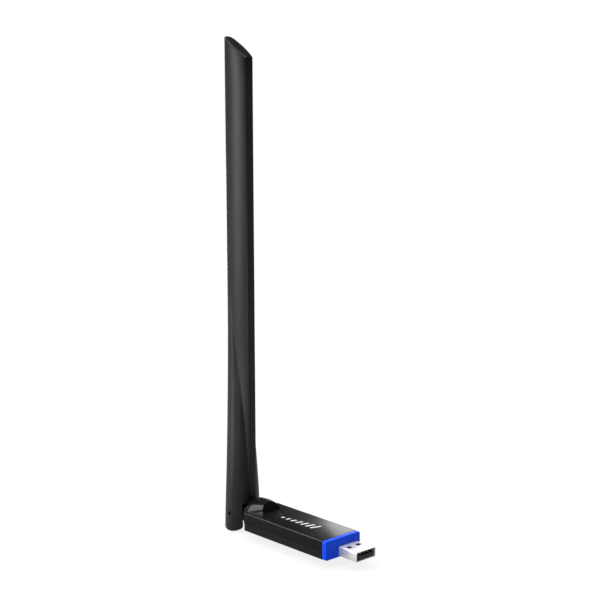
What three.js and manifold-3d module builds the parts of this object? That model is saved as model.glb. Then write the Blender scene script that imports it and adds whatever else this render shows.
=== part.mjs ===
// USB wireless network adapter with a folding, swivelling stick antenna.
// Millimetres. Origin on the plug's axis at the front face of the end bezel,
// +X out of the plug, +Z up, +Y to the left of the plug.
import * as THREE from 'three';
import { mergeVertices } from 'three/addons/utils/BufferGeometryUtils.js';
import Module from 'manifold-3d';

const wasm = await Module();
wasm.setup();

// ---- driving dimensions -------------------------------------------------
const gap = 0.12;              // joint line between mating pieces

const body = { length: 55.9, width: 21.7, bottom: -2.8, top: 6.2, centreY: -3.1, wall: 1.2, corner: 0.9 };
const floorTop = body.bottom + 1.0;     // inside faces of the housing's floor and roof
const ceiling = body.top - 1.1;
const partingZ = 1.3;          // where the two housing halves meet
const bezel = { thick: 2.6, plate: 1.4, skirt: 2.6, skirtWall: 0.9 };

const plug = { width: 12.0, height: 4.5, wall: 0.3, reach: 11.4, buried: 7.0, corner: 0.65 };
const plugWindow = { length: 1.95, width: 2.5, x: 3.8, y: 2.85 };
const tongue = { top: 0.05, front: 10.8, width: 11.0, channel: 0.14 };
const contact = { rows: [-3.5, -1.0, 1.0, 3.5], width: 1.0, thick: 0.18, powerTip: 0.7, dataTip: 1.7 };
const contactTail = { bend: -7.2, foot: -8.0, end: -9.4 };

const board = { front: -7.4, rear: -50.2, halfWidth: 9.2, top: -0.3, thick: 1.0 };
const padHeight = board.top + 0.665;     // middle of the lead where it lies on the board
const peg = { radius: 0.8, holeRadius: 1.0, shoulder: 1.6 };
const boardPegs = [[-13.5, body.centreY - 7.6], [-46.0, body.centreY + 7.6]];
const ledge = { from: -30, to: -26, offset: 8.6, halfWidth: 0.7 };
const lip = { height: 0.9, inset: 0.6, front: -9, rearNotch: 6 };
const solderGap = 0.05;        // parts stand this far off the board

// Parts on the board: centre along X, offset from the body's middle, length, width, height.
const parts = {
  can: [-24, 0, 13, 12, 2.2],
  wifi: [-24, 0, 6, 6, 0.85],
  memory: [-36.5, 4.6, 4.9, 3.9, 1.4],
  regulator: [-13.6, 5.4, 2.9, 1.6, 1.1],
  crystal: [-36.6, -4.6, 3.2, 2.5, 0.7],
  inductor: [-13.4, -2.4, 3.0, 3.0, 1.5],
  led: [-42.8, 0.4, 1.6, 0.8, 0.7],
};
const canWall = 0.2;
const canVent = { radius: 0.5, offset: -4, spacing: 4 };
const capSpots = [[-33, -6.6], [-33, -2.2], [-33, 2.2], [-33, 6.6], [-15.2, 2.4], [-10.8, 5.4]];
const capSize = [1.0, 1.6, 0.8];
const ledSpot = [parts.led[0], body.centreY + parts.led[1]];
const pipe = { radius: 0.6, flange: 1.1, flangeThick: 0.8, bottom: 1.4, play: 0.08, sunk: 0.02 };

const swivelZ = 2.0;           // height of the swivel axis, which runs along X
const ring = { end: -58.9, radius: 8.8 };
const hump = { rise: 8.5, shoulder: -56.0, front: -48.6, shoulderHalf: 10.3, frontHalf: 5.9, lean: 2.0 };
const humpStations = [ring.end, -57.5, hump.shoulder, -53.5, -51, hump.front, hump.front + 1.5];
const rearWallFront = -55.2;
const barrelRoomRadius = 6.6;
const shaft = { radius: 2.8, bore: 2.9, end: -51.4, groove: 2.2, grooveFrom: -53.9, grooveTo: -53.2 };
const clip = { outer: 3.7, from: -53.8, to: -53.3, mouthHalf: 1.2, play: 0.08 };
const washer = { outer: 3.7, from: -54.9, to: -54.2, play: 0.1 };

const hingeX = -69.65;         // fold axis, which runs along Y
const knuckle = { radius: 5.0, flat: 4.85, face: ring.end - 0.2, slotForLead: 1.3 };
const fork = { slotHalf: 5.4, noseDepth: 8.8, slotTop: 5.2 };
const pin = { radius: 0.9, bore: 0.97, inner: 1.6, outer: 7.3 };

const mast = { radius: 8.0, edgeHalf: 2.1, crown: 3.35, tipHigh: 228.5, tipLow: 219.2 };
const mastFoot = 12;           // the foot is a full round at this height
const mastFade = 105;          // and its bulge has run out this much higher
const mastBands = 24;
const mastGrading = 1.7;       // the bands stand closer together towards the foot
const edgePacking = 3.64 / mast.radius;   // and the corners closer together near the two edges
const noseSquare = { back: 3.6, front: 2.2 };
const noseSteps = 48;
const footFlare = { x: 0.45, y: 0.75, depth: 18.8 };   // how far it swells below, and over what depth
const bulge = { slide: 5.0, slidePower: 1.5, thin: 2.9, thinPower: 1.45 };
const pocket = { half: 6.0, depth: 1.45, from: 27, to: 214 };
const strip = { half: 5.0, thick: 0.8, from: 29, to: 206 };
const foil = { gap: 0.05, thick: 0.1, half: 3.2, feedHalf: 0.4, feedFrom: 36, feedTo: 190 };
const foilSpans = [[38, 62], [68, 106], [112, 152], [158, 198]];
const foam = { heights: [50, 109, 155, 201.5], halfHeight: 1.5, play: 0.1, foilRoom: 0.2 };
const lead = { radius: 0.565, channel: 0.9, fromHinge: 0.45, bodyEnd: -51.5, aside: 2.2 };
const groundTab = { from: -46.2, to: -45.6, half: 1.0, height: 1.5, play: 0.08 };

// ---- helpers ------------------------------------------------------------
const alongX = new THREE.Matrix4().makeBasis(
  new THREE.Vector3(0, 1, 0), new THREE.Vector3(0, 0, 1), new THREE.Vector3(1, 0, 0));

function toSolid(geometry) {
  const plain = (geometry.index ? geometry.toNonIndexed() : geometry.clone());
  plain.deleteAttribute('normal');
  plain.deleteAttribute('uv');
  const merged = mergeVertices(plain, 1e-4);
  return new wasm.Manifold(new wasm.Mesh({
    numProp: 3,
    vertProperties: new Float32Array(merged.attributes.position.array),
    triVerts: new Uint32Array(merged.index.array),
  }));
}

function toGeometry(solid) {
  const mesh = solid.getMesh();
  const geometry = new THREE.BufferGeometry();
  geometry.setAttribute('position', new THREE.BufferAttribute(mesh.vertProperties, 3));
  geometry.setIndex(new THREE.BufferAttribute(mesh.triVerts, 1));
  geometry.computeVertexNormals();
  return geometry;
}

function join(solids) {
  return solids.reduce((whole, next) => whole.add(next));
}

// Box from its low and high corners.
function block(low, high) {
  const size = high.map((value, axis) => value - low[axis]);
  const centre = high.map((value, axis) => (value + low[axis]) / 2);
  return toSolid(new THREE.BoxGeometry(...size).translate(...centre));
}

// Round bar about the line through centre along 'x', 'y' or 'z'.
function bar(axis, radius, from, to, centre, sides = 32) {
  const geometry = new THREE.CylinderGeometry(radius, radius, to - from, sides);
  geometry.translate(0, (from + to) / 2, 0);
  if (axis === 'x') geometry.rotateZ(-Math.PI / 2);
  if (axis === 'z') geometry.rotateX(Math.PI / 2);
  return toSolid(geometry.translate(...centre));
}

function roundedRectangle(width, height, radius) {
  const x = width / 2;
  const y = height / 2;
  const shape = new THREE.Shape();
  shape.moveTo(x, radius - y);
  shape.absarc(x - radius, y - radius, radius, 0, Math.PI / 2);
  shape.absarc(radius - x, y - radius, radius, Math.PI / 2, Math.PI);
  shape.absarc(radius - x, radius - y, radius, Math.PI, 1.5 * Math.PI);
  shape.absarc(x - radius, radius - y, radius, 1.5 * Math.PI, 2 * Math.PI);
  return shape;
}

// Rounded bar of rectangular section running along X.
function roundedBar(from, to, width, height, radius, centreY, centreZ, arcSteps = 4) {
  const geometry = new THREE.ExtrudeGeometry(roundedRectangle(width, height, radius), {
    depth: to - from, bevelEnabled: false, curveSegments: arcSteps,
  });
  return toSolid(geometry.applyMatrix4(alongX).translate(from, centreY, centreZ));
}

// Strip bent in the XZ plane, of the given width in Y.
function bentStrip(points, width, centreY) {
  const shape = new THREE.Shape(points.map(([x, z]) => new THREE.Vector2(x, z)));
  const geometry = new THREE.ExtrudeGeometry(shape, { depth: width, bevelEnabled: false });
  return toSolid(geometry.rotateX(Math.PI / 2).translate(0, centreY + width / 2, 0));
}

function coaxTube(points, steps) {
  const outline = new THREE.Shape();
  outline.absarc(0, 0, lead.radius, 0, 2 * Math.PI);
  const path = new THREE.CatmullRomCurve3(points.map((point) => new THREE.Vector3(...point)));
  return toSolid(new THREE.ExtrudeGeometry(outline, { steps, extrudePath: path, curveSegments: 4 }));
}

// Moves every vertex of a unit-radius cylinder to its place on a lofted form.
function sculpt(geometry, place) {
  const position = geometry.attributes.position;
  const point = new THREE.Vector3();
  for (let i = 0; i < position.count; i += 1) {
    point.fromBufferAttribute(position, i);
    const reach = Math.min(1, Math.hypot(point.x, point.z));
    const angle = Math.atan2(point.z, point.x);
    const [x, y, z] = place(angle, reach, point.y);
    position.setXYZ(i, x, y, z);
  }
  return toSolid(geometry);
}

const nodes = new THREE.Group();

function addNode(name, solid, colour, roughness, metalness = 0) {
  const material = new THREE.MeshStandardMaterial({ color: colour, roughness, metalness });
  const mesh = new THREE.Mesh(toGeometry(solid), material);
  mesh.name = name;
  nodes.add(mesh);
}

const black = 0x101113;
const gold = 0xd8b25a;
const steel = 0xc9ccd0;
const resin = 0x1c1d20;
const jacket = 0x2a2b2e;

// ---- housing ------------------------------------------------------------
const halfWidth = body.width / 2;
const midZ = (body.top + body.bottom) / 2;
const height = body.top - body.bottom;
const bodyFront = -bezel.thick - gap;

// Half width, rise and squareness of the rear hump at a station along X.
function humpSection(x) {
  if (x < hump.shoulder) {
    const t = (x - ring.end) / (hump.shoulder - ring.end);
    return [ring.radius + (hump.shoulderHalf - ring.radius) * t, hump.rise, 2];
  }
  const t = (x - hump.shoulder) / (hump.front - hump.shoulder);
  return [hump.shoulderHalf + (hump.frontHalf - hump.shoulderHalf) * t, hump.rise, 2 + 0.4 * t];
}

function humpForm() {
  const bands = humpStations.length - 1;
  const geometry = new THREE.CylinderGeometry(1, 1, bands, 48, bands);
  const form = sculpt(geometry, (angle, reach, level) => {
    const x = humpStations[Math.round(level + bands / 2)];
    const [half, rise, power] = humpSection(x);
    const c = Math.cos(angle);
    const s = Math.sin(angle);
    const y = Math.sign(c) * Math.abs(c) ** (2 / power);
    const z = Math.sign(s) * Math.abs(s) ** (2 / power);
    return [x, body.centreY - reach * half * y, swivelZ + reach * rise * z];
  });
  const slope = Math.atan2(hump.lean, swivelZ + hump.rise - body.top);
  const frontCut = new THREE.BoxGeometry(20, 40, 30);
  frontCut.translate(10, 0, 15);
  frontCut.rotateY(-slope);
  frontCut.translate(hump.front, body.centreY, body.top);
  return form
    .subtract(toSolid(frontCut))
    .subtract(block([-70, -30, -30], [-40, 30, body.bottom]));
}

function housingOuter() {
  const box = roundedBar(-body.length, bodyFront, body.width, height, body.corner, body.centreY, midZ);
  return box.add(humpForm());
}

function housingCavity() {
  const inner = halfWidth - body.wall;
  const room = block(
    [rearWallFront, body.centreY - inner, floorTop],
    [1, body.centreY + inner, ceiling]);
  const barrelRoom = bar('x', barrelRoomRadius, rearWallFront, hump.front - 2.2, [0, body.centreY, swivelZ])
    .subtract(block([-70, -30, -30], [-40, 30, floorTop]));
  const skirtRoom = block(
    [bodyFront - bezel.skirt - gap, body.centreY - inner - 0.2, floorTop - 0.2],
    [1, body.centreY + inner + 0.2, ceiling + 0.2]);
  const shaftBore = bar('x', shaft.bore, ring.end - 1, rearWallFront + 1, [0, body.centreY, swivelZ], 40);
  const plugBed = block(
    [-plug.buried - 0.3, -plug.width / 2 - 0.2, -plug.height / 2 - 0.1],
    [1, plug.width / 2 + 0.2, 2]);
  return join([room, barrelRoom, skirtRoom, shaftBore, plugBed]);
}

// Locating lip inside the walls, or with room added, the rebate that takes it.
function lipBand(room, low, high) {
  const outer = halfWidth - lip.inset + room;
  const inner = halfWidth - body.wall;
  const notch = lip.rearNotch - room;
  const y = body.centreY;
  return block([rearWallFront - lip.inset - room, y - outer, low], [lip.front + room, y + outer, high])
    .subtract(block([rearWallFront, y - inner, low - 1], [0, y + inner, high + 1]))
    .subtract(block([-60, y - notch, low - 1], [-54, y + notch, high + 1]));
}

function buildHousing() {
  const shell = housingOuter().subtract(housingCavity());
  const above = block([-70, -30, partingZ], [10, 30, 30]);
  const below = block([-70, -30, -30], [10, 30, partingZ - gap]);

  // The bore opens downwards, so that the shaft drops in before the halves close.
  const dropIn = block(
    [ring.end - 1, body.centreY - shaft.bore, partingZ - 1],
    [rearWallFront + 1, body.centreY + shaft.bore, swivelZ]);
  const pipeHole = bar('z', pipe.radius + pipe.play, 3, 8, [...ledSpot, 0], 20);
  const top = shell.intersect(above)
    .subtract(dropIn)
    .subtract(lipBand(gap, partingZ - 1, partingZ + lip.height + gap))
    .subtract(pipeHole);
  addNode('top_housing', top, black, 0.12);

  const root = floorTop - 0.2;
  const underBoard = board.top - board.thick - solderGap;
  const pegs = boardPegs.map(([x, y]) => join([
    bar('z', peg.shoulder, root, underBoard, [x, y, 0], 20),
    bar('z', peg.radius, root, board.top + 0.4, [x, y, 0], 20),
  ]));
  const ledges = [-1, 1].map((side) => block(
    [ledge.from, body.centreY + side * ledge.offset - ledge.halfWidth, root],
    [ledge.to, body.centreY + side * ledge.offset + ledge.halfWidth, underBoard]));
  const bottom = join([
    shell.intersect(below),
    lipBand(0, partingZ - gap - 0.3, partingZ + lip.height),
    ...pegs,
    ...ledges,
  ]);
  addNode('bottom_housing', bottom, black, 0.42);
}

function buildBezel() {
  const face = roundedBar(-bezel.thick, 0, body.width, height, body.corner, body.centreY, midZ);
  const skirtWidth = body.width - 2 * body.wall + 0.2;
  const skirtHeight = ceiling - floorTop + 0.2;
  const skirtZ = (ceiling + floorTop) / 2;
  const skirt = roundedBar(
    bodyFront - bezel.skirt, -bezel.thick + 0.5, skirtWidth, skirtHeight, 0.6, body.centreY, skirtZ);
  const hollow = block(
    [-20, body.centreY - skirtWidth / 2 + bezel.skirtWall, floorTop + bezel.skirtWall],
    [-bezel.plate, body.centreY + skirtWidth / 2 - bezel.skirtWall, ceiling - bezel.skirtWall]);
  const mouth = roundedBar(
    -20, 5, plug.width + 0.3, plug.height + 0.3, plug.corner + 0.15, 0, 0);
  addNode('end_bezel', face.add(skirt).subtract(hollow).subtract(mouth), 0x0a4be0, 0.35);
}

function buildLightPipe() {
  const lens = bar('z', pipe.radius, ceiling - 0.3, body.top - pipe.sunk, [...ledSpot, 0], 20);
  const flange = bar('z', pipe.flange, ceiling - pipe.flangeThick, ceiling - 0.1, [...ledSpot, 0], 20);
  const stem = bar('z', pipe.radius, pipe.bottom, ceiling - 0.5, [...ledSpot, 0], 20);
  addNode('light_pipe', join([lens, flange, stem]), 0xe8eef2, 0.1);
}

// ---- plug ---------------------------------------------------------------
function buildPlug() {
  const inside = { width: plug.width - 2 * plug.wall, height: plug.height - 2 * plug.wall };
  const window = [plugWindow.length / 2, plugWindow.width / 2];
  const sleeve = roundedBar(-plug.buried, plug.reach, plug.width, plug.height, plug.corner, 0, 0)
    .subtract(roundedBar(-20, 20, inside.width, inside.height, plug.corner - plug.wall, 0, 0));
  const holes = [-1, 1].map((side) => block(
    [plugWindow.x - window[0], side * plugWindow.y - window[1], -5],
    [plugWindow.x + window[0], side * plugWindow.y + window[1], 5]));
  const seam = block([-20, -0.08, -5], [20, 0.08, -1]);
  addNode('usb_shell', sleeve.subtract(join([...holes, seam])), steel, 0.22, 1);

  const bottom = -plug.height / 2 + plug.wall + 0.12;
  const back = -plug.buried + 0.2;
  const half = tongue.width / 2;
  const blade = block([back, -half, bottom], [tongue.front, half, tongue.top]);
  const heel = block([back, -half, bottom], [0.4, half, -bottom]);
  const bed = tongue.top - tongue.channel;
  const channelHalf = contact.width / 2 + gap;
  const channels = contact.rows.map((y) => block(
    [-20, y - channelHalf, bed], [tongue.front - 0.3, y + channelHalf, 0.5]));
  addNode('usb_insulator', blade.add(heel).subtract(join(channels)), 0x1a1b1e, 0.55);

  contact.rows.forEach((y, index) => {
    const outermost = Math.abs(y) > 2;
    const front = tongue.front - (outermost ? contact.powerTip : contact.dataTip);
    const low = bed + 0.06;
    const high = low + contact.thick;
    const rest = board.top + solderGap;
    const { bend, foot, end } = contactTail;
    const blank = bentStrip([
      [front, low], [front, high], [bend, high], [foot, rest + contact.thick],
      [end, rest + contact.thick], [end, rest], [foot - 0.1, rest], [bend - 0.1, low],
    ], contact.width, y);
    addNode(`usb_contact_${index + 1}`, blank, gold, 0.3, 1);
  });
}

// ---- circuit board ------------------------------------------------------
// Block standing on the board, given by its centre and size.
function onBoard([x, offset, length, width, high]) {
  const rest = board.top + solderGap;
  const y = body.centreY + offset;
  return block([x - length / 2, y - width / 2, rest], [x + length / 2, y + width / 2, rest + high]);
}

function buildBoard() {
  const plate = block(
    [board.rear, body.centreY - board.halfWidth, board.top - board.thick],
    [board.front, body.centreY + board.halfWidth, board.top]);
  const holes = boardPegs.map(([x, y]) => bar('z', peg.holeRadius, -5, 2, [x, y, 0], 20));
  addNode('circuit_board', plate.subtract(join(holes)), 0x14532b, 0.5);

  const [canX, canOffset, canLength, canWidth, canHigh] = parts.can;
  const canRoom = onBoard([
    canX, canOffset, canLength - 2 * canWall, canWidth - 2 * canWall, canHigh - canWall]);
  const openBase = canRoom.translate([0, 0, -canWall]);
  const vents = [-1, 0, 1].map((step) => bar(
    'z', canVent.radius, 0, 5, [canX + step * canVent.spacing, body.centreY + canVent.offset, 0], 12));
  addNode('shield_can', onBoard(parts.can).subtract(join([canRoom, openBase, ...vents])), 0xb9bdc2, 0.35, 1);

  addNode('wifi_chip', onBoard(parts.wifi), resin, 0.5);
  addNode('memory_chip', onBoard(parts.memory), resin, 0.5);
  addNode('regulator_chip', onBoard(parts.regulator), resin, 0.5);
  addNode('crystal_can', onBoard(parts.crystal), 0xc4c7cb, 0.3, 1);
  addNode('power_inductor', onBoard(parts.inductor), 0x2c2d30, 0.7);
  capSpots.forEach(([x, offset], index) => {
    addNode(`ceramic_capacitor_${index + 1}`, onBoard([x, offset, ...capSize]), 0xb08a5a, 0.6);
  });
  addNode('status_led', onBoard(parts.led), 0xf2f3ee, 0.4);
}

// ---- swivel and lead ----------------------------------------------------
function buildKnuckle() {
  const centre = [0, body.centreY, swivelZ];
  const barrel = bar('x', knuckle.radius, hingeX, knuckle.face, centre, 40);
  const ball = new THREE.SphereGeometry(knuckle.radius, 40, 20);
  const eye = toSolid(ball.translate(hingeX, body.centreY, swivelZ));
  const spindle = bar('x', shaft.radius, knuckle.face - 0.5, shaft.end, centre, 40);
  const grooveRing = bar('x', shaft.radius + 1, shaft.grooveFrom, shaft.grooveTo, centre, 40)
    .subtract(bar('x', shaft.groove, -60, -50, centre, 40));
  const bore = bar('x', lead.channel, hingeX, shaft.end + 1, centre, 16);
  const swing = block(
    [hingeX - 10, body.centreY - knuckle.slotForLead, swivelZ - lead.channel],
    [hingeX + lead.channel, body.centreY + knuckle.slotForLead, swivelZ + 10]);
  const pinBore = bar('y', pin.bore, -10, 10, [hingeX, body.centreY, swivelZ], 24);
  const flats = [-1, 1].map((side) => block(
    [hingeX - 8, body.centreY + side * (knuckle.flat + 1) - 1, swivelZ - 8],
    [hingeX + 6.2, body.centreY + side * (knuckle.flat + 1) + 1, swivelZ + 8]));
  const form = join([barrel, eye, spindle]).subtract(join([grooveRing, bore, swing, pinBore, ...flats]));
  addNode('swivel_knuckle', form, black, 0.45);

  const clipMouth = block(
    [-60, body.centreY - clip.mouthHalf, swivelZ], [-50, body.centreY + clip.mouthHalf, swivelZ + 9]);
  const openRing = bar('x', clip.outer, clip.from, clip.to, centre)
    .subtract(bar('x', shaft.groove + clip.play, -60, -50, centre))
    .subtract(clipMouth);
  addNode('retaining_clip', openRing, 0x8d9095, 0.3, 1);
  const disc = bar('x', washer.outer, washer.from, washer.to, centre)
    .subtract(bar('x', shaft.radius + washer.play, -60, -50, centre));
  addNode('friction_washer', disc, 0xd9d4c6, 0.5);
}

function buildLead() {
  const y = body.centreY;
  const inBody = coaxTube([
    [-45.4, y + lead.aside, padHeight], [-47.0, y + lead.aside, padHeight], [-48.6, y + 1.6, 0.9],
    [-49.9, y + 0.5, 1.8], [-51.2, y, swivelZ],
  ], 16);
  addNode('coax_body_run', inBody, jacket, 0.5);
  const inKnuckle = bar('x', lead.radius, hingeX + lead.fromHinge, lead.bodyEnd, [0, y, swivelZ], 12);
  addNode('coax_knuckle_run', inKnuckle, jacket, 0.5);
  const onStrip = y - strip.thick / 2 - lead.radius - 0.05;
  const inMast = coaxTube([
    [hingeX, y, swivelZ + 0.3], [hingeX, y, 6], [hingeX, (y + onStrip) / 2, 13],
    [hingeX, onStrip, 20], [hingeX, onStrip, 27], [hingeX, onStrip, strip.from + 5],
  ], 16);
  addNode('coax_antenna_run', inMast, jacket, 0.5);
  const tab = block(
    [groundTab.from, y + lead.aside - groundTab.half, board.top + solderGap],
    [groundTab.to, y + lead.aside + groundTab.half, board.top + groundTab.height])
    .subtract(bar('x', lead.radius + groundTab.play, -50, -40, [0, y + lead.aside, padHeight], 16));
  addNode('coax_ground_tab', tab, gold, 0.3, 1);
}

// ---- antenna ------------------------------------------------------------
// Outline radius of the mast's section in a direction, at a height above the fold axis.
function mastRadius(angle, z) {
  const c = Math.abs(Math.cos(angle));
  const s = Math.abs(Math.sin(angle));

  // Crowned face: half thickness falls from the crown to the edge as a parabola.
  const drop = (mast.crown - mast.edgeHalf) / mast.radius ** 2;
  const bladeFace = 2 * mast.crown / (s + Math.sqrt(s * s + 4 * drop * c * c * mast.crown));
  const blade = Math.min(bladeFace, mast.radius / Math.max(c, 1e-6));

  // Foot: an ellipse that thins and slides towards the back as it rises, and swells below.
  const t = Math.min(1, Math.max(0, (z - mastFoot) / mastFade));
  const swell = Math.min(1, Math.max(0, (mastFoot - z) / footFlare.depth));
  const centreX = -bulge.slide * t ** bulge.slidePower;
  const a = mast.radius + centreX + footFlare.x * swell;
  const b = bulge.thin + (mast.radius - bulge.thin) * (1 - t) ** bulge.thinPower + footFlare.y * swell;
  const ux = Math.cos(angle) / a;
  const uy = Math.sin(angle) / b;
  const k = centreX / a;
  const lean = ux * k;
  const size = ux * ux + uy * uy;
  const foot = (lean + Math.sqrt(Math.max(0, lean * lean - size * (k * k - 1)))) / size;
  return Math.max(blade, foot);
}

function mastForm() {
  const base = swivelZ - fork.noseDepth - 0.5;
  const top = mast.tipHigh + 1;
  const geometry = new THREE.CylinderGeometry(1, 1, mastBands, 48, mastBands);
  const form = sculpt(geometry, (angle, reach, level) => {
    const t = level / mastBands + 0.5;
    const z = base + (top - base) * t ** mastGrading;
    const spread = Math.atan2(edgePacking * Math.sin(angle), Math.cos(angle));
    const r = reach * mastRadius(spread, z);
    return [hingeX + r * Math.cos(spread), body.centreY - r * Math.sin(spread), z];
  });
  const slope = Math.atan2(mast.tipHigh - mast.tipLow, 2 * mast.radius);
  const tipCut = new THREE.BoxGeometry(60, 40, 30).translate(0, 0, 15).rotateY(slope);
  tipCut.translate(hingeX, body.centreY, (mast.tipHigh + mast.tipLow) / 2);
  return form.subtract(toSolid(tipCut)).intersect(noseForm());
}

// Limits the foot from below: round towards the plug, squarer towards the back.
function noseForm() {
  const reach = mast.radius + footFlare.x + 0.05;
  const outline = [];
  for (let step = 0; step <= noseSteps; step += 1) {
    const x = reach * (2 * step / noseSteps - 1);
    const power = x < 0 ? noseSquare.back : noseSquare.front;
    const depth = fork.noseDepth * Math.max(0, 1 - Math.abs(x / reach) ** power) ** (1 / power);
    outline.push(new THREE.Vector2(hingeX + x, swivelZ - depth));
  }
  outline.push(new THREE.Vector2(hingeX + reach, mast.tipHigh + 1));
  outline.push(new THREE.Vector2(hingeX - reach, mast.tipHigh + 1));
  const geometry = new THREE.ExtrudeGeometry(new THREE.Shape(outline), { depth: 40, bevelEnabled: false });
  return toSolid(geometry.rotateX(Math.PI / 2).translate(0, 20 + body.centreY, 0));
}

function forkCut() {
  const low = body.centreY - fork.slotHalf;
  const high = body.centreY + fork.slotHalf;
  const back = hingeX - fork.slotTop;
  const eyeRoom = bar('y', fork.slotTop, low, high, [hingeX, 0, swivelZ], 48);
  const front = block([hingeX, low, swivelZ - 12], [hingeX + 12, high, swivelZ + fork.slotTop]);
  const under = block([back, low, swivelZ - 12], [hingeX + 12, high, swivelZ]);
  return join([eyeRoom, front, under]);
}

function buildMast() {
  const y = body.centreY;
  const hollow = block(
    [hingeX - pocket.half, y - pocket.depth, pocket.from],
    [hingeX + pocket.half, y + pocket.depth, pocket.to]);
  const channel = block(
    [hingeX - lead.channel, y - strip.thick - 2 * lead.channel, swivelZ],
    [hingeX + lead.channel, y + lead.channel, strip.from + 6]);
  const pinHoles = bar('y', pin.bore, -20, 20, [hingeX, y, swivelZ], 24);
  const form = mastForm().subtract(join([forkCut(), hollow, channel, pinHoles]));
  const far = 20;
  const frontHalf = block([hingeX - far, y - far, -30], [hingeX + far, y - gap / 2, 300]);
  const backHalf = block([hingeX - far, y + gap / 2, -30], [hingeX + far, y + far, 300]);
  addNode('antenna_front_shell', form.intersect(frontHalf), black, 0.4);
  addNode('antenna_back_shell', form.intersect(backHalf), black, 0.4);

  ['front', 'back'].forEach((side, index) => {
    const sign = index === 0 ? -1 : 1;
    const ends = [y + sign * pin.inner, y + sign * pin.outer].sort((a, b) => a - b);
    const halfPin = bar('y', pin.radius, ends[0], ends[1], [hingeX, 0, swivelZ], 24);
    addNode(`hinge_pin_${side}`, halfPin, steel, 0.3, 1);
  });

  const half = strip.thick / 2;
  addNode('antenna_board', block(
    [hingeX - strip.half, y - half, strip.from], [hingeX + strip.half, y + half, strip.to]), 0xc9b26a, 0.5);
  const foilFace = y - half - foil.gap;
  const patch = (halfSpan, low, high) => block(
    [hingeX - halfSpan, foilFace - foil.thick, low], [hingeX + halfSpan, foilFace, high]);
  const elements = foilSpans.map(([low, high]) => patch(foil.half, low, high));
  const feed = patch(foil.feedHalf, foil.feedFrom, foil.feedTo);
  addNode('dipole_elements', join([feed, ...elements]), 0xc77b45, 0.3, 1);

  const padHalf = pocket.half - foam.play;
  const padDepth = pocket.depth - foam.play;
  foam.heights.forEach((z, index) => {
    const sleeve = block(
      [hingeX - padHalf, y - padDepth, z - foam.halfHeight],
      [hingeX + padHalf, y + padDepth, z + foam.halfHeight]);
    const slit = block(
      [hingeX - strip.half - foam.play, y - half - foam.foilRoom, z - 2],
      [hingeX + strip.half + foam.play, y + half + foam.play, z + 2]);
    addNode(`foam_pad_${index + 1}`, sleeve.subtract(slit), 0x3a3b3d, 0.95);
  });
}

buildHousing();
buildBezel();
buildLightPipe();
buildPlug();
buildBoard();
buildKnuckle();
buildLead();
buildMast();

export default nodes;
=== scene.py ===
import math
import bmesh
import bpy
from mathutils import Matrix, Vector


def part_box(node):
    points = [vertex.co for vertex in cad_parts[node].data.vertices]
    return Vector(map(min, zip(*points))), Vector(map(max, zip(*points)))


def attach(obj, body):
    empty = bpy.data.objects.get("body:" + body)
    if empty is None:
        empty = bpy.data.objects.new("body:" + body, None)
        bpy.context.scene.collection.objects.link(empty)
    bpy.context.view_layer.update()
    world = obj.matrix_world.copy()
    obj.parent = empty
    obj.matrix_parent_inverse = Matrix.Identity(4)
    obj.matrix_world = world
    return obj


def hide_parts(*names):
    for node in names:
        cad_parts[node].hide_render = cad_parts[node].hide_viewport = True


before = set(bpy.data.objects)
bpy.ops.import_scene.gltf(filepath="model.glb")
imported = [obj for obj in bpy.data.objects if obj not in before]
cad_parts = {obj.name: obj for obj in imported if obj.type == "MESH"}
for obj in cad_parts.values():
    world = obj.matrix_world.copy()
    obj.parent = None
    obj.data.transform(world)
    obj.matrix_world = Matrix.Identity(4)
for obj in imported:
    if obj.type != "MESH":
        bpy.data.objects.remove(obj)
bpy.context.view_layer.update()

# USB network adapter with a folding stick antenna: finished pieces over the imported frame.
# Forms are worked in millimetres and brought down to metres when a piece is kept.
scene = bpy.context.scene
mm = 0.001


camera = {
    "place": (495.8, -490.8, 257.5),
    "azimuth": 47.07,
    "elevation": 11.52,
    "roll": -0.14,
    "lens": 96.83,
    "sensor": 36,
    "farthest": 50,          # clipping distance, in metres
}

studio = {
    "floorHeight": -7.0,
    "floorSize": 12000,
    "floorGlow": 0.44,       # how pale the floor is where the object mirrors it
    "floorLift": 0.84,       # share of the floor's white that no shadow takes away
    "background": 1.0,
    "ambient": 0.02,
    "sunStrength": 3.7,
    "sunSpread": 80,
    "sunTilt": (12, -8, 0),
}

lamps = {
    "backRight": {"place": (-232, 432, 190), "aim": (-20, 0, 5), "size": (330, 260), "power": 0.53},
    "leftFront": {"place": (-510, -560, 200), "aim": (-70, 0, 130), "size": (170, 420), "power": 2.0},
    "leftBack": {"place": (-616, 231, 40), "aim": (-56, 0, 6), "size": (160, 120), "power": 0.5},
    "rearLow": {"place": (-130, -92, 25), "aim": (-60, -14, 2), "size": (50, 50), "power": 0.015},
    "sideFill": {"place": (-20, -260, 60), "aim": (-20, -14, 2), "size": (120, 100), "power": 0.09},
}


def makeCamera():
    data = bpy.data.cameras.new("studioCamera")
    data.lens = camera["lens"]
    data.sensor_width = camera["sensor"]
    data.clip_end = camera["farthest"]
    eye = bpy.data.objects.new("studioCamera", data)
    turn = Matrix.Rotation(math.radians(camera["azimuth"]), 4, "Z")
    tilt = Matrix.Rotation(math.radians(90 - camera["elevation"]), 4, "X")
    roll = Matrix.Rotation(math.radians(camera["roll"]), 4, "Z")
    eye.matrix_world = Matrix.Translation(Vector(camera["place"]) * mm) @ turn @ tilt @ roll
    scene.collection.objects.link(eye)
    scene.camera = eye


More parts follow.
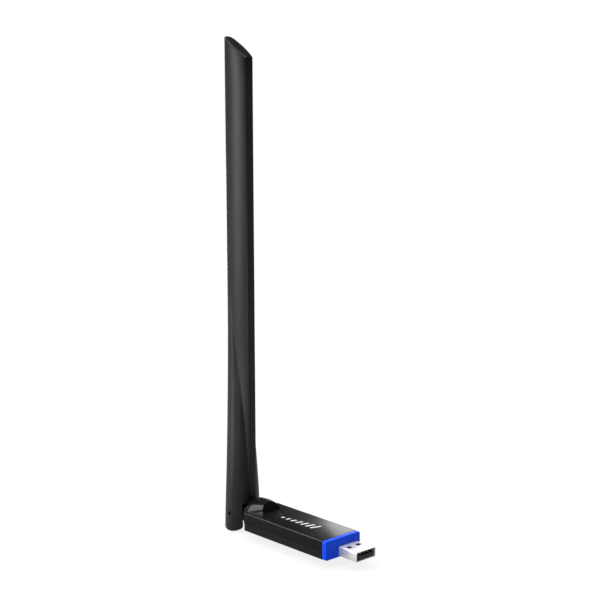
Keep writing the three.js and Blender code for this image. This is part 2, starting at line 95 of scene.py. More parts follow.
def makeLamp(name, place, aim, size, power):
    data = bpy.data.lights.new(name, "AREA")
    data.shape = "RECTANGLE"
    data.size = size[0] * mm
    data.size_y = size[1] * mm
    data.energy = power
    lamp = bpy.data.objects.new(name, data)
    look = (Vector(aim) - Vector(place)).to_track_quat("-Z", "Y")
    lamp.matrix_world = Matrix.Translation(Vector(place) * mm) @ look.to_matrix().to_4x4()
    lamp.visible_camera = False
    scene.collection.objects.link(lamp)


def makeSun():
    data = bpy.data.lights.new("softSky", "SUN")
    data.energy = studio["sunStrength"]
    data.angle = math.radians(studio["sunSpread"])
    sun = bpy.data.objects.new("softSky", data)
    sun.rotation_euler = [math.radians(turn) for turn in studio["sunTilt"]]
    scene.collection.objects.link(sun)


scene.view_settings.view_transform = "Standard"
makeCamera()
makeSun()
for name, lamp in lamps.items():
    makeLamp(name, **lamp)
print("camera and lamps made")


# One socket of a node tree, so that shader maths reads as plain sums.
class Value:
    def __init__(self, graph, socket):
        self.graph = graph
        self.socket = socket

    def __add__(self, other):
        return self.graph.maths("ADD", self, other)

    def __sub__(self, other):
        return self.graph.maths("SUBTRACT", self, other)

    def __rsub__(self, other):
        return self.graph.maths("SUBTRACT", other, self)

    def __mul__(self, other):
        return self.graph.maths("MULTIPLY", self, other)

    def __truediv__(self, other):
        return self.graph.maths("DIVIDE", self, other)

    def __lt__(self, other):
        return self.graph.maths("LESS_THAN", self, other)

    def __gt__(self, other):
        return self.graph.maths("GREATER_THAN", self, other)

    def __abs__(self):
        return self.graph.maths("ABSOLUTE", self, 0.0)

    __radd__ = __add__
    __rmul__ = __mul__


# A node tree under construction: every node comes from the one method below.
class Graph:
    def __init__(self, owner):
        owner.use_nodes = True
        self.tree = owner.node_tree
        self.tree.nodes.clear()

    def node(self, kind, settings=None, sockets=None, output=0):
        made = self.tree.nodes.new("ShaderNode" + kind)
        for name, value in (settings or {}).items():
            setattr(made, name, value)
        for name, value in (sockets or {}).items():
            socket = made.inputs[name]
            if isinstance(value, Value):
                self.tree.links.new(value.socket, socket)
            elif isinstance(value, tuple) and socket.type == "RGBA":
                socket.default_value = (*value, 1)
            else:
                socket.default_value = value
        return Value(self, made.outputs[output]) if made.outputs else None

    def maths(self, operation, first, second):
        return self.node("Math", {"operation": operation}, {0: first, 1: second})


class Paint(Graph):
    def __init__(self, name):
        self.material = bpy.data.materials.new(name)
        super().__init__(self.material)
        self.facing = self.node("TexCoord", output="Normal")
        place = self.node("TexCoord", output="Object")
        self.at = self.node("VectorMath", {"operation": "SCALE"}, {"Vector": place, "Scale": 1 / mm})

    def parts(self, vector):
        return [self.node("SeparateXYZ", None, {0: vector}, output) for output in range(3)]

    def stretched(self, scale):
        return self.node("VectorMath", {"operation": "MULTIPLY"}, {0: self.at, 1: scale})

    def noise(self, scale, detail=3.0, roughness=0.55, where=None):
        return self.node("TexNoise", None, {"Vector": where or self.at, "Scale": scale,
                                            "Detail": detail, "Roughness": roughness})

    def eased(self, value, low, high):
        return self.node("MapRange", {"interpolation_type": "SMOOTHSTEP"},
                         {"Value": value, "From Min": low, "From Max": high})

    def mixed(self, factor, first, second):
        sockets = {0: factor, 6: first, 7: second}     # the factor, and the two colours
        return self.node("Mix", {"data_type": "RGBA"}, sockets, 2)

    # Closes the material, with height as a fine relief of the depth given in millimetres.
    def finish(self, colour, roughness, height=None, depth=0.02, **others):
        sockets = {"Base Color": colour, "Roughness": roughness, **others}
        if height is not None:
            sockets["Normal"] = self.node("Bump", None, {"Height": height, "Strength": 1.0,
                                                         "Distance": depth * mm})
        shader = self.node("BsdfPrincipled", None, sockets)
        self.node("OutputMaterial", None, {"Surface": shader})
        return self.material


# White to the camera, and nearly dark to everything that mirrors it.
def makeWorld():
    world = bpy.data.worlds.new("studioWorld")
    scene.world = world
    graph = Graph(world)
    plain = graph.node("Background", None, {"Color": (1, 1, 1), "Strength": studio["ambient"]})
    white = graph.node("Background", None, {"Color": (1, 1, 1), "Strength": studio["background"]})
    seen = graph.node("LightPath", output="Is Camera Ray")
    shown = graph.node("MixShader", None, {0: seen, 1: plain, 2: white})
    graph.node("OutputWorld", None, {"Surface": shown})


makeWorld()


# Moulded plastic with a fine spark-eroded grain and faint changes of gloss.
def plasticPaint(name, colour, lighter, roughness, grain=0.008, grainScale=3.2, **others):
    paint = Paint(name)
    cloud = paint.noise(0.06, 2.0)
    speck = paint.noise(grainScale, 2.0)
    shade = paint.eased(cloud + (speck - 0.5) * 0.35, 0.3, 0.75)
    gloss = roughness + (cloud - 0.5) * 0.10 + (speck - 0.5) * 0.08
    return paint.finish(paint.mixed(shade, colour, lighter), gloss, speck, grain, **others)


mark = {
    "start": -38.6,      # first bar along the body
    "pitch": 3.3,
    "bars": 7,
    "width": 1.25,
    "low": -2.6,         # foot of the bars across the body
    "rise": 0.62,        # each bar is this much taller than the last
    "shortest": 1.5,
    "slant": 0.32,
    "white": (0.80, 0.80, 0.79),
    "thick": 0.6,        # relief of the print against the grain's
}


# One where the printed row of rising bars lies, else zero.
def printedBars(paint, x, y, z, centreY, level):
    acrossBody = y - centreY
    along = x - acrossBody * mark["slant"] - mark["start"]
    step = paint.maths("FLOOR", along / mark["pitch"], 0.0)
    inBar = paint.maths("FRACT", along / mark["pitch"], 0.0) < mark["width"] / mark["pitch"]
    height = mark["low"] + mark["shortest"] + step * mark["rise"]
    tall = (acrossBody > mark["low"]) * (acrossBody < height)
    inRow = (step > -0.5) * (step < mark["bars"] - 0.5)
    return inBar * tall * inRow * (z > level)


# Gloss lid and hump over satin sides, with the printed bars.
def housingPaint(centreY, lidTop):
    paint = Paint("housingBlack")
    x, y, z = paint.parts(paint.at)
    lid = paint.eased(paint.parts(paint.facing)[2], 0.25, 0.6)
    atHump = paint.eased(x, hump["front"] + 0.6, hump["front"] - 0.6)
    aboveLid = paint.eased(z, lidTop - 0.2, lidTop + 0.1)
    gloss = paint.maths("MAXIMUM", lid, atHump * aboveLid)
    printed = printedBars(paint, x, y, z, centreY, lidTop - 0.2)
    cloud = paint.noise(0.05, 2.0)
    speck = paint.noise(3.4, 2.0)
    dust = paint.eased(paint.noise(1.1, 4.0, 0.7), 0.66, 0.74)
    plain = paint.mixed(paint.eased(cloud, 0.3, 0.7), (0.0042, 0.0042, 0.0045), (0.0065, 0.0065, 0.007))
    satin = paint.mixed(paint.eased(speck, 0.3, 0.7), (0.0035, 0.0035, 0.0037), (0.0055, 0.0055, 0.0058))
    colour = paint.mixed(printed, paint.mixed(gloss, satin, plain), mark["white"])
    satinRough = 0.46 + (speck - 0.5) * 0.12 + (cloud - 0.5) * 0.08
    rough = satinRough - gloss * 0.16 + dust * gloss * 0.05
    coat = gloss * (1 - printed * 0.8) * (0.85 + (cloud - 0.5) * 0.2 - dust * 0.1)
    relief = speck * (1 - gloss) + printed * mark["thick"]
    return paint.finish(colour, rough, relief, 0.006, **{"Specular IOR Level": 0.12, "Coat Weight": coat,
                                                         "Coat Roughness": 0.14})


def metalPaint(name, colour, darker, roughness, brush=(0.4, 6.0, 6.0), depth=0.002, metallic=1.0):
    paint = Paint(name)
    hair = paint.noise(1.0, 4.0, 0.6, paint.stretched(brush))
    cloud = paint.noise(0.25, 2.0)
    shade = paint.eased(cloud * 0.6 + hair * 0.4, 0.35, 0.65)
    rough = roughness + (hair - 0.5) * 0.14 + (cloud - 0.5) * 0.08
    return paint.finish(paint.mixed(shade, darker, colour), rough, hair, depth, Metallic=metallic)


# Solder resist over copper tracks, seen faintly through it.
def boardPaint(name, mask, track, pitch):
    paint = Paint(name)
    across = paint.parts(paint.at)[1]
    wander = paint.noise(0.22, 2.0)
    line = paint.maths("FRACT", (across + (wander - 0.5) * 3.0) / pitch, 0.0)
    tracks = paint.eased(abs(line - 0.5), 0.18, 0.24)
    speck = paint.noise(2.5, 3.0)
    colour = paint.mixed(tracks, mask, track)
    relief = tracks + speck * 0.2
    return paint.finish(colour, 0.34 + (speck - 0.5) * 0.1, relief, 0.02, **{"Coat Weight": 0.4})


def foamPaint():
    paint = Paint("closedCellFoam")
    cells = paint.node("TexVoronoi", None, {"Vector": paint.at, "Scale": 3.0})
    cloud = paint.noise(0.5)
    skin = paint.eased(cells + (cloud - 0.5) * 0.3, 0.1, 0.6)
    colour = paint.mixed(skin, (0.016, 0.016, 0.018), (0.05, 0.05, 0.054))
    return paint.finish(colour, 0.9 + (cloud - 0.5) * 0.1, cells, 0.15)


def clearPaint():
    paint = Paint("frostedLightPipe")
    cloud = paint.noise(1.5)
    colour = paint.mixed(paint.eased(cloud, 0.3, 0.7), (0.16, 0.17, 0.18), (0.26, 0.27, 0.28))
    return paint.finish(colour, 0.25 + (cloud - 0.5) * 0.15, cloud, 0.004,
                        **{"Transmission Weight": 0.35, "IOR": 1.49})


paints = {
    "satin": plasticPaint("satinBlackPlastic", (0.006, 0.006, 0.0063), (0.009, 0.009, 0.0095), 0.46,
                          **{"Specular IOR Level": 0.16}),
    "mast": plasticPaint("antennaBlackPlastic", (0.0060, 0.0060, 0.0062), (0.0095, 0.0095, 0.0098), 0.38,
                         grain=0.012, grainScale=2.6, **{"Specular IOR Level": 0.30}),
    "knuckle": plasticPaint("knuckleBlackPlastic", (0.006, 0.006, 0.0063), (0.009, 0.009, 0.0095), 0.40),
    "blue": plasticPaint("bluePlastic", (0.0, 0.066, 0.90), (0.0, 0.078, 1.0), 0.36, grain=0.005,
                         **{"Specular IOR Level": 0.2}),
    "clear": clearPaint(),
    "nickel": metalPaint("nickelPlate", (0.95, 0.95, 0.94), (0.86, 0.86, 0.85), 0.34, metallic=0.5),
    "insulator": plasticPaint("insulatorPlastic", (0.012, 0.012, 0.013), (0.022, 0.022, 0.024), 0.5),
    "gold": metalPaint("goldPlate", (0.95, 0.70, 0.30), (0.80, 0.56, 0.22), 0.28),
    "board": boardPaint("greenSolderMask", (0.004, 0.075, 0.022), (0.010, 0.15, 0.045), 0.9),
    "strip": boardPaint("antennaStripLaminate", (0.50, 0.37, 0.13), (0.60, 0.46, 0.18), 1.3),
    "copper": metalPaint("copperFoil", (0.90, 0.42, 0.24), (0.72, 0.30, 0.17), 0.32),
    "chip": plasticPaint("chipResin", (0.010, 0.010, 0.011), (0.022, 0.022, 0.023), 0.55, grain=0.02),
    "tin": metalPaint("tinnedSteel", (0.78, 0.78, 0.77), (0.62, 0.62, 0.61), 0.36),
    "ferrite": plasticPaint("ferriteBlock", (0.020, 0.019, 0.018), (0.038, 0.036, 0.034), 0.75, grain=0.04),
    "ceramic": plasticPaint("capacitorCeramic", (0.36, 0.22, 0.10), (0.50, 0.33, 0.17), 0.6, grain=0.02),
    "ledBody": plasticPaint("ledPackage", (0.78, 0.78, 0.70), (0.90, 0.90, 0.82), 0.4),
    "jacket": plasticPaint("leadJacket", (0.016, 0.016, 0.017), (0.028, 0.028, 0.03), 0.42, grain=0.01),
    "spring": metalPaint("springSteel", (0.60, 0.61, 0.62), (0.45, 0.46, 0.47), 0.3),
    "pinSteel": metalPaint("pinSteel", (0.62, 0.62, 0.62), (0.48, 0.48, 0.48), 0.28, brush=(5.0, 0.5, 5.0)),
    "polymer": plasticPaint("washerPolymer", (0.62, 0.58, 0.48), (0.74, 0.70, 0.60), 0.5, grain=0.01),
    "foam": foamPaint(),
}
print("materials made:", len(paints))


def boxOf(node):
    low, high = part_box(node)
    return Vector(low) / mm, Vector(high) / mm


def blockForm(low, high):
    form = bmesh.new()
    bmesh.ops.create_cube(form, size=1)
    bmesh.ops.scale(form, vec=Vector(high) - Vector(low), verts=form.verts)
    bmesh.ops.translate(form, vec=(Vector(high) + Vector(low)) / 2, verts=form.verts)
    return form


# Round bar along "X", "Y" or "Z" through centre; far is the radius at its far end.
def barForm(axis, radius, start, end, centre, sides=64, far=None):
    form = bmesh.new()
    bmesh.ops.create_cone(form, cap_ends=True, segments=sides, radius1=radius,
                          radius2=radius if far is None else far, depth=abs(end - start))
    bmesh.ops.translate(form, vec=(0, 0, abs(end - start) / 2), verts=form.verts)
    towards = {"X": Vector((1, 0, 0)), "Y": Vector((0, 1, 0)), "Z": Vector((0, 0, 1))}[axis]
    if end < start:
        towards = -towards
    turn = Vector((0, 0, 1)).rotation_difference(towards).to_matrix()
    bmesh.ops.rotate(form, matrix=turn, verts=form.verts)
    lead = abs(start) if start * (end - start) >= 0 else -abs(start)
    bmesh.ops.translate(form, vec=Vector(centre) + lead * towards, verts=form.verts)
    return form


# Open tube of unit radius, one unit long per level, to be shaped afterwards.
def tubeForm(sides, levels):
    form = bmesh.new()
    bmesh.ops.create_circle(form, segments=sides, radius=1)
    rim = form.edges[:]
    for level in range(1, levels):
        grown = bmesh.ops.extrude_edge_only(form, edges=rim)["geom"]
        points = [part for part in grown if isinstance(part, bmesh.types.BMVert)]
        bmesh.ops.translate(form, vec=(0, 0, 1), verts=points)
        rim = [part for part in grown if isinstance(part, bmesh.types.BMEdge) and part.is_boundary]
    return form


def closeForm(form):
    bmesh.ops.holes_fill(form, edges=[edge for edge in form.edges if edge.is_boundary], sides=0)
    bmesh.ops.recalc_face_normals(form, faces=form.faces)
    return form


def roundEdges(form, chosen, offset, segments=3):
    edges = [edge for edge in form.edges if chosen(*(corner.co for corner in edge.verts))]
    bmesh.ops.bevel(form, geom=edges, offset=offset, offset_type="OFFSET", affect="EDGES",
                    segments=segments, profile=0.5, material=-1, clamp_overlap=True)
    return form


def runsAlong(axis):
    others = [index for index in range(3) if index != axis]
    return lambda a, b: all(abs(a[index] - b[index]) < 1e-5 for index in others)


def liesAt(axis, value):
    return lambda a, b: abs(a[axis] - value) < 1e-4 and abs(b[axis] - value) < 1e-4


def asObject(form, name):
    mesh = bpy.data.meshes.new(name)
    form.to_mesh(mesh)
    form.free()
    made = bpy.data.objects.new(name, mesh)
    scene.collection.objects.link(made)
    return made


# Joins to, or takes from, a closed form another one.
def combine(form, other, operation="DIFFERENCE"):
    first = asObject(form, "workForm")
    second = asObject(other, "workTool")
    step = first.modifiers.new("combine", "BOOLEAN")
    step.operation = operation
    step.solver = "EXACT"
    step.object = second
    result = bmesh.new()
    result.from_object(first, bpy.context.evaluated_depsgraph_get())
    for used in (first, second):
        mesh = used.data
        bpy.data.objects.remove(used)
        bpy.data.meshes.remove(mesh)
    return result


# The part of a form behind a plane, closed again.
def keepSide(form, place, outwards):
    half = form.copy()
    geometry = half.verts[:] + half.edges[:] + half.faces[:]
    bmesh.ops.bisect_plane(half, geom=geometry, plane_co=place, plane_no=outwards, clear_outer=True)
    rim = [edge for edge in half.edges if edge.is_boundary]
    bmesh.ops.triangle_fill(half, edges=rim, use_beauty=True, use_dissolve=False)
    bmesh.ops.recalc_face_normals(half, faces=half.faces)
    return half


def keepPiece(name, form, body, paint, replaced, soften=0.0, angle=32):
    bmesh.ops.scale(form, vec=(mm, mm, mm), verts=form.verts)
    piece = asObject(form, name)
    piece.data.materials.append(paint)
    for face in piece.data.polygons:
        face.use_smooth = True
    piece.data.set_sharp_from_angle(angle=math.radians(angle))
    if soften:
        edge = piece.modifiers.new("edge", "BEVEL")
        edge.width = soften * mm
        edge.segments = 2
        edge.limit_method = "ANGLE"
        edge.angle_limit = math.radians(40)
        edge.harden_normals = True
    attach(piece, body)
    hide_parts(*replaced)
    return piece


housing = {
    "length": 55.9,
    "corner": 0.5,
    "wall": 1.2,
    "floor": 1.0,
    "roof": 1.1,
    "lip": 0.9,
    "seam": 0.12,            # open line between the two halves
    "rearWallFront": -55.2,
    "shaftBore": 2.9,
    "pipeBore": 0.68,
    "soften": 0.12,
}

hump = {
    "ringEnd": -58.9,
    "ringRadius": 8.8,
    "shoulder": -56.0,
    "shoulderHalf": 10.3,
    "front": -48.6,
    "frontHalf": 5.9,
    "rise": 8.5,
    "lean": 2.0,
    "squarer": 0.4,          # how much squarer its front section is than an ellipse
    "stations": (-58.9, -58.2, -57.4, -56.7, -56.0, -55.0, -54.0, -53.0, -52.0, -51.0, -50.0, -48.6, -47.0),
    "sides": 96,
}

topLow, topHigh = boxOf("top_housing")
bottomLow, bottomHigh = boxOf("bottom_housing")
pipeLow, pipeHigh = boxOf("light_pipe")
lidTop = round(boxOf("end_bezel")[1].z, 3)
centreY = (topLow.y + topHigh.y) / 2
axisZ = topHigh.z - hump["rise"]


# Half width of the hump, and the power of its section, at a station.
def humpHalf(x):
    if x < hump["shoulder"]:
        t = (x - hump["ringEnd"]) / (hump["shoulder"] - hump["ringEnd"])
        return hump["ringRadius"] + (hump["shoulderHalf"] - hump["ringRadius"]) * t, 2
    t = (x - hump["shoulder"]) / (hump["front"] - hump["shoulder"])
    return hump["shoulderHalf"] + (hump["frontHalf"] - hump["shoulderHalf"]) * t, 2 + hump["squarer"] * t


def humpForm():
    form = tubeForm(hump["sides"], len(hump["stations"]))
    for point in form.verts:
        x = hump["stations"][round(point.co.z)]
        half, power = humpHalf(x)
        length = math.hypot(point.co.x, point.co.y)
        across, up = point.co.x / length, point.co.y / length
        point.co = (x, centreY + half * math.copysign(abs(across) ** (2 / power), across),
                    axisZ + hump["rise"] * math.copysign(abs(up) ** (2 / power), up))
    closeForm(form)
    slope = Vector((axisZ + hump["rise"] - lidTop, 0, hump["lean"])).normalized()
    form = keepSide(form, (hump["front"], centreY, lidTop), slope)
    return keepSide(form, (0, centreY, bottomLow.z), (0, 0, -1))


def housingForm():
    box = blockForm((-housing["length"], topLow.y, bottomLow.z), (topHigh.x, topHigh.y, lidTop))
    roundEdges(box, runsAlong(0), housing["corner"], 5)
    form = combine(box, humpForm(), "UNION")
    inner = (topHigh.y - topLow.y) / 2 - housing["wall"]
    room = blockForm((housing["rearWallFront"], centreY - inner, bottomLow.z + housing["floor"]),
                     (1, centreY + inner, lidTop - housing["roof"]))
    form = combine(form, room)
    start, end = hump["ringEnd"] - 1.1, housing["rearWallFront"] + 1.2
    form = combine(form, barForm("X", housing["shaftBore"], start, end, (0, centreY, axisZ)))
    pipe = (pipeLow + pipeHigh) / 2
    return combine(form, barForm("Z", housing["pipeBore"], 3, 8, (pipe.x, pipe.y, 0), 40))


def makeHousing():
    form = housingForm()
    paint = housingPaint(centreY, lidTop)
    lid = keepSide(form, (0, centreY, topLow.z), (0, 0, -1))
    tray = keepSide(form, (0, centreY, bottomHigh.z - housing["lip"] - housing["seam"]), (0, 0, 1))
    form.free()
    keepPiece("housing_lid", lid, "dongle", paint,
              ["top_housing"], housing["soften"])
    keepPiece("housing_tray", tray, "dongle", paints["satin"],
              ["bottom_housing"], housing["soften"])


makeHousing()
print("housing made")


bezel = {
    "thick": 2.6,
    "corner": 0.9,
    "rim": 0.45,
    "plate": 1.4,
    "skirtStep": 1.1,        # the skirt stands this far in from the sides, floor and top
    "skirtLap": 0.5,
    "hollowStep": 2.0,
    "mouthPlay": 0.15,
    "mouthCorner": 0.8,
    "soften": 0.08,
}


def makeBezel():
    low, high = boxOf("end_bezel")
    plugLow, plugHigh = boxOf("usb_shell")
    step, deep = bezel["skirtStep"], bezel["hollowStep"]
    face = blockForm((-bezel["thick"], topLow.y, bottomLow.z), (high.x, topHigh.y, lidTop))
    roundEdges(face, runsAlong(0), bezel["corner"], 5)
    roundEdges(face, liesAt(0, high.x), bezel["rim"], 4)
    skirt = blockForm((low.x, topLow.y + step, bottomLow.z + step - 0.1),
                      (bezel["skirtLap"] - bezel["thick"], topHigh.y - step, lidTop - step))
    form = combine(face, skirt, "UNION")
    hollow = blockForm((low.x - 15, topLow.y + deep, bottomLow.z + deep - 0.1),
                       (-bezel["plate"], topHigh.y - deep, lidTop - deep))
    form = combine(form, hollow)
    play = Vector((0, bezel["mouthPlay"], bezel["mouthPlay"]))
    mouth = blockForm(plugLow - play - Vector((15, 0, 0)), plugHigh + play)
    roundEdges(mouth, runsAlong(0), bezel["mouthCorner"], 5)
    form = combine(form, mouth)
    keepPiece("blue_bezel", form, "dongle", paints["blue"], ["end_bezel"], bezel["soften"])


makeBezel()
print("bezel made")


plug = {
    "corner": 0.65,
    "wall": 0.3,
    "windowLength": 2.4,
    "windowWidth": 2.7,
    "windowX": 3.8,
    "windowY": 2.85,
    "seamHalf": 0.05,
    "soften": 0.07,
}


def makePlug():
    low, high = boxOf("usb_shell")
    sleeve = blockForm(low, high)
    roundEdges(sleeve, runsAlong(0), plug["corner"], 6)
    wall = Vector((0, plug["wall"], plug["wall"]))
    inside = blockForm(low + wall - Vector((5, 0, 0)), high - wall + Vector((5, 0, 0)))
    roundEdges(inside, runsAlong(0), plug["corner"] - plug["wall"], 6)
    form = combine(sleeve, inside)
    for side in (-1, 1):
        middle = Vector((plug["windowX"], side * plug["windowY"], 0))
        reach = Vector((plug["windowLength"] / 2, plug["windowWidth"] / 2, 5))
        form = combine(form, blockForm(middle - reach, middle + reach))
    form = combine(form, blockForm((-20, -plug["seamHalf"], -5), (20, plug["seamHalf"], -1)))
    keepPiece("plug_shell", form, "dongle", paints["nickel"],
              ["usb_shell"], plug["soften"])


makePlug()
print("plug made")


knuckle = {
    "radius": 5.0,
    "hinge": -69.65,
    "face": -59.1,
    "flat": 4.85,
    "flatTo": 6.2,
    "rim": 0.4,
    "shaft": 2.8,
    "groove": 2.2,
    "grooveFrom": 5.2,       # along the shaft, from the barrel's face
    "grooveTo": 5.9,
    "shaftLength": 7.7,
    "chamfer": 0.3,
    "slotHalf": 1.3,
    "channel": 0.9,
    "pinBore": 0.97,
    "sides": 72,
    "soften": 0.12,
}


# Half outline of the ball, barrel, groove and shaft, along from the hinge and out from the axis.
def knuckleOutline():
    reach, rim, shaft = knuckle["radius"], knuckle["rim"], knuckle["shaft"]
    past = knuckle["face"] - knuckle["hinge"]
    end = past + knuckle["shaftLength"]
    turns = [math.radians(turn) for turn in range(0, 91, 6)]
    ball = [(-reach * math.cos(turn), reach * math.sin(turn)) for turn in turns]
    face = [(past - rim, reach), (past - rim / 4, reach - rim / 4), (past, reach - rim), (past, shaft)]
    start, stop = past + knuckle["grooveFrom"], past + knuckle["grooveTo"]
    groove = [(start, shaft), (start, knuckle["groove"]), (stop, knuckle["groove"]), (stop, shaft)]
    tail = [(end - knuckle["chamfer"], shaft), (end, shaft - knuckle["chamfer"]), (end, 0)]
    return ball + face + groove + tail


def makeKnuckle():
    centre = Vector((knuckle["hinge"], centreY, axisZ))
    form = bmesh.new()
    points = [form.verts.new((along, 0, out)) for along, out in knuckleOutline()]
    edges = [form.edges.new(pair) for pair in zip(points, points[1:])]
    bmesh.ops.spin(form, geom=points + edges, cent=(0, 0, 0), axis=(1, 0, 0), angle=math.tau,
                   steps=knuckle["sides"], use_merge=True)
    bmesh.ops.remove_doubles(form, verts=form.verts, dist=1e-4)
    bmesh.ops.recalc_face_normals(form, faces=form.faces)
    bmesh.ops.translate(form, vec=centre, verts=form.verts)
    for side in (-1, 1):
        inner, outer = sorted((side * knuckle["flat"], side * (knuckle["flat"] + 3.2)))
        flat = blockForm(centre + Vector((-8, inner, -8)), centre + Vector((knuckle["flatTo"], outer, 8)))
        form = combine(form, flat)
    swing = blockForm(centre + Vector((-10, -knuckle["slotHalf"], -knuckle["channel"])),
                      centre + Vector((knuckle["channel"], knuckle["slotHalf"], 10)))
    form = combine(form, swing)
    form = combine(form, barForm("Y", knuckle["pinBore"], -15, 15, (centre.x, 0, axisZ), 40))
    keepPiece("knuckle_joint", form, "knuckle", paints["knuckle"],
              ["swivel_knuckle"], knuckle["soften"])


makeKnuckle()
print("knuckle made")


mast = {
    "radius": 8.0,
    "edgeHalf": 2.1,
    "crown": 3.35,
    "tipHigh": 228.5,
    "tipLow": 219.2,
    "foot": 12,
    "fade": 105,
    "nose": 8.8,
    "edgeRound": 0.7,
    "edgeFront": 18,
    "edgeBack": 8,
    "noseRound": 0.7,
    "noseLevel": 0.5,        # where the nose is as long as the foot above it
    "slotHalf": 5.4,
    "slotTop": 5.2,
    "pinBore": 0.97,
    "seam": 0.05,            # open line between the two half shells
    "sides": 256,
    "swellX": 0.45,
    "swellY": 0.75,
    "swellDepth": 18.8,
    "noseFront": 2.2,
    "noseBack": 3.6,
    "noseSection": -6.0,     # heights whose sections the two ends take
    "tipSection": 220.0,
    "bulgeSlide": 5.0,
    "bulgeThin": 2.9,
    "firstLevel": 3.0,
    "levelStep": 1.45,
    "levels": 79,
    "upperLevels": (124, 136, 150, 165, 180, 195, 208),
    "packing": ((0.0, 0.0), (0.14, 11.0), (0.42, 18.5), (1.0, 90.0)),     # share of the points, degrees
    "pocket": {"half": 6.0, "depth": 1.45, "from": 27, "to": 214},
    "channel": {"half": 0.9, "depth": 2.6, "to": 35},
}
hingeX = knuckle["hinge"]


# Distance from the mast's middle to its skin in one direction, at a height: the larger of a
# crowned blade with square edges and a round foot that thins and slides back as it rises.
def mastReach(angle, z):
    c, s = abs(math.cos(angle)), abs(math.sin(angle))
    drop = (mast["crown"] - mast["edgeHalf"]) / mast["radius"] ** 2
    face = 2 * mast["crown"] / (s + math.sqrt(s * s + 4 * drop * c * c * mast["crown"]))
    side = mast["radius"] / max(c, 1e-6)
    sharp = mast["edgeFront"] if math.cos(angle) > 0 else mast["edgeBack"]
    blade = (face ** -sharp + side ** -sharp) ** (-1 / sharp)     # the higher, the sharper the edge
    t = min(1.0, max(0.0, (z - mast["foot"]) / mast["fade"]))
    swell = min(1.0, max(0.0, (mast["foot"] - z) / mast["swellDepth"]))
    middle = -mast["bulgeSlide"] * t ** 1.5
    a = mast["radius"] + middle + mast["swellX"] * swell
    thin = mast["bulgeThin"]
    b = thin + (mast["radius"] - thin) * (1 - t) ** 1.45 + mast["swellY"] * swell
    ux, uy = math.cos(angle) / a, math.sin(angle) / b
    k = middle / a
    size = ux * ux + uy * uy
    foot = (ux * k + math.sqrt(max(0.0, ux * ux * k * k - size * (k * k - 1)))) / size
    return max(blade, foot)


# Packs the points round the mast closer near its two edges.
def packedAngle(angle):
    quarter = math.floor(angle / (math.pi / 2) + 1e-9)
    within = angle / (math.pi / 2) - quarter
    mirrored = 1 - within if quarter % 2 else within
    for (u0, a0), (u1, a1) in zip(mast["packing"], mast["packing"][1:]):
        if mirrored <= u1 + 1e-9:
            turned = a0 + (a1 - a0) * (mirrored - u0) / (u1 - u0)
            break
    turned = 90 - turned if quarter % 2 else turned
    return math.radians(quarter * 90 + turned)


def tipHeight(x):
    middle = (mast["tipHigh"] + mast["tipLow"]) / 2
    return middle - x * (mast["tipHigh"] - mast["tipLow"]) / (2 * mast["radius"])


# Bottom of the foot: round towards the plug, squarer towards the back.
def noseHeight(x):
    power = mast["noseBack"] if x < 0 else mast["noseFront"]
    reach = mast["radius"] + mast["swellX"] + 0.1
    return axisZ - mast["nose"] * (1 - (abs(x) / reach) ** power) ** (1 / power)


# Each level is a height, or a ring of a rounded end ("nose" or "tip") by its turn, or of the cap
# that closes it by its share of the size.
def mastLevels():
    quarterTurns = [turn / 5 * math.pi / 2 for turn in range(6)]
    shares = (0.02, 0.2, 0.4, 0.6, 0.8)
    heights = [mast["firstLevel"] + mast["levelStep"] * step for step in range(mast["levels"])]
    levels = [("noseCap", share) for share in shares] + [("nose", turn) for turn in quarterTurns]
    levels += [("flat", height) for height in heights + list(mast["upperLevels"])]
    levels += [("tip", turn) for turn in reversed(quarterTurns)]
    return levels + [("tipCap", share) for share in reversed(shares)]


def mastForm():
    levels = mastLevels()
    form = tubeForm(mast["sides"], len(levels))
    for point in form.verts:
        kind, value = levels[round(point.co.z)]
        angle = packedAngle(math.atan2(point.co.y, point.co.x) % math.tau)
        atNose = kind.startswith("nose")
        height = value if kind == "flat" else mast["noseSection"] if atNose else mast["tipSection"]
        reach = mastReach(angle, height)
        x, y = reach * math.cos(angle), reach * math.sin(angle)
        if kind != "flat":
            bend = mast["noseRound"] if atNose else mast["edgeRound"]
            turn = value if kind in ("nose", "tip") else 0.0
            inset = bend * (1 - math.sin(turn))
            share = value if kind.endswith("Cap") else 1.0
            halfX = mastReach(0.0, height)
            halfY = mastReach(math.pi / 2, height)
            endHalf = mastReach(0.0, mast["noseLevel"]) if atNose else halfX
            x *= share * (endHalf - inset) / halfX
            y *= share * (halfY - inset) / halfY
            lift = bend * (1 - math.cos(turn))
            height = noseHeight(x) + lift if atNose else tipHeight(x) - lift
        point.co = (hingeX + x, centreY + y, height)
    return closeForm(form)


# The one edge of the slot, at its back and top, that follows the knuckle's ball.
def slotBackTop(a, b):
    return runsAlong(1)(a, b) and a.z > axisZ and a.x < hingeX


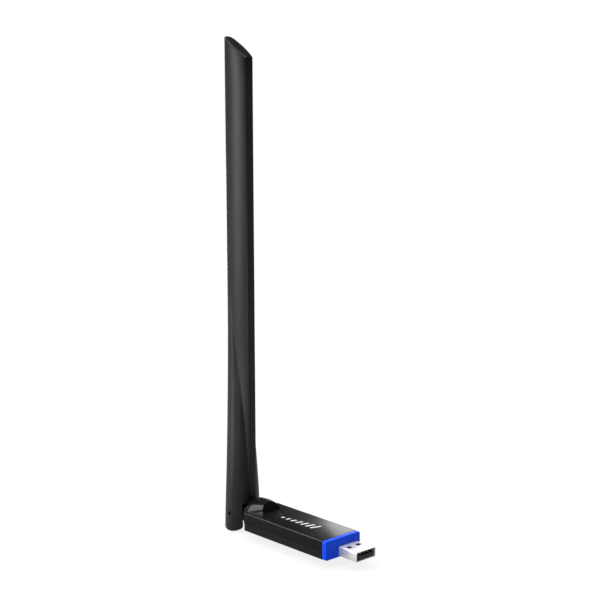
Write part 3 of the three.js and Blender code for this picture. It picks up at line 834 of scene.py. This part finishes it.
def makeMast():
    form = mastForm()
    slot = blockForm((hingeX - mast["slotTop"], centreY - mast["slotHalf"], axisZ - 14),
                     (hingeX + 14, centreY + mast["slotHalf"], axisZ + mast["slotTop"]))
    roundEdges(slot, slotBackTop, mast["slotTop"] - 0.01, 16)
    form = combine(form, slot)
    pocket, channel = mast["pocket"], mast["channel"]
    form = combine(form, blockForm((hingeX - pocket["half"], centreY - pocket["depth"], pocket["from"]),
                                   (hingeX + pocket["half"], centreY + pocket["depth"], pocket["to"])))
    form = combine(form, blockForm((hingeX - channel["half"], centreY - channel["depth"], axisZ),
                                   (hingeX + channel["half"], centreY + channel["half"], channel["to"])))
    form = combine(form, barForm("Y", mast["pinBore"], -20, 20, (hingeX, centreY, axisZ), 40))
    front = keepSide(form, (0, centreY - mast["seam"] / 2, 0), (0, 1, 0))
    back = keepSide(form, (0, centreY + mast["seam"] / 2, 0), (0, -1, 0))
    form.free()
    keepPiece("antenna_shell_front", front, "antenna", paints["mast"],
              ["antenna_front_shell"], angle=30)
    keepPiece("antenna_shell_back", back, "antenna", paints["mast"],
              ["antenna_back_shell"], angle=30)


makeMast()
print("antenna made")


finishes = {
    "light_pipe": "clear",
    "usb_insulator": "insulator",
    "usb_contact": "gold",
    "circuit_board": "board",
    "shield_can": "tin",
    "wifi_chip": "chip",
    "memory_chip": "chip",
    "regulator_chip": "chip",
    "crystal_can": "tin",
    "power_inductor": "ferrite",
    "ceramic_capacitor": "ceramic",
    "status_led": "ledBody",
    "coax_ground_tab": "gold",
    "coax": "jacket",
    "retaining_clip": "spring",
    "friction_washer": "polymer",
    "hinge_pin": "pinSteel",
    "antenna_board": "strip",
    "dipole_elements": "copper",
    "foam_pad": "foam",
}


# The inner parts stay as the frame has them, and only get their materials.
def finishFrameParts():
    done = 0
    for name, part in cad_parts.items():
        start = next((start for start in finishes if name.startswith(start)), None)
        if start is None:
            continue
        paint = paints[finishes[start]]
        if not part.material_slots:
            part.data.materials.append(paint)
        for slot in part.material_slots:
            slot.material = paint
        done += 1
    return done


print("frame parts finished:", finishFrameParts())


# Pale to the camera and dimmer to the surfaces that mirror it.
def floorPaint():
    paint = Paint("paleFloor")
    cloud = paint.noise(0.004, 2.0)
    share = 1 - studio["floorLift"]
    pale = paint.mixed(cloud, (0.88 * share,) * 3, (0.91 * share,) * 3)
    seen = paint.node("LightPath")
    glow = paint.mixed(seen, (0.0,) * 3, (studio["floorLift"],) * 3)
    return paint.finish(paint.mixed(seen, (studio["floorGlow"],) * 3, pale), 0.9,
                        **{"Specular IOR Level": 0.0, "Emission Color": glow, "Emission Strength": 1.0})


def makeFloor():
    form = bmesh.new()
    bmesh.ops.create_grid(form, x_segments=2, y_segments=2, size=studio["floorSize"] * mm / 2)
    bmesh.ops.translate(form, vec=(0, 0, studio["floorHeight"] * mm), verts=form.verts)
    floor = asObject(form, "studioFloor")
    floor.data.materials.append(floorPaint())


makeFloor()
print("floor made")
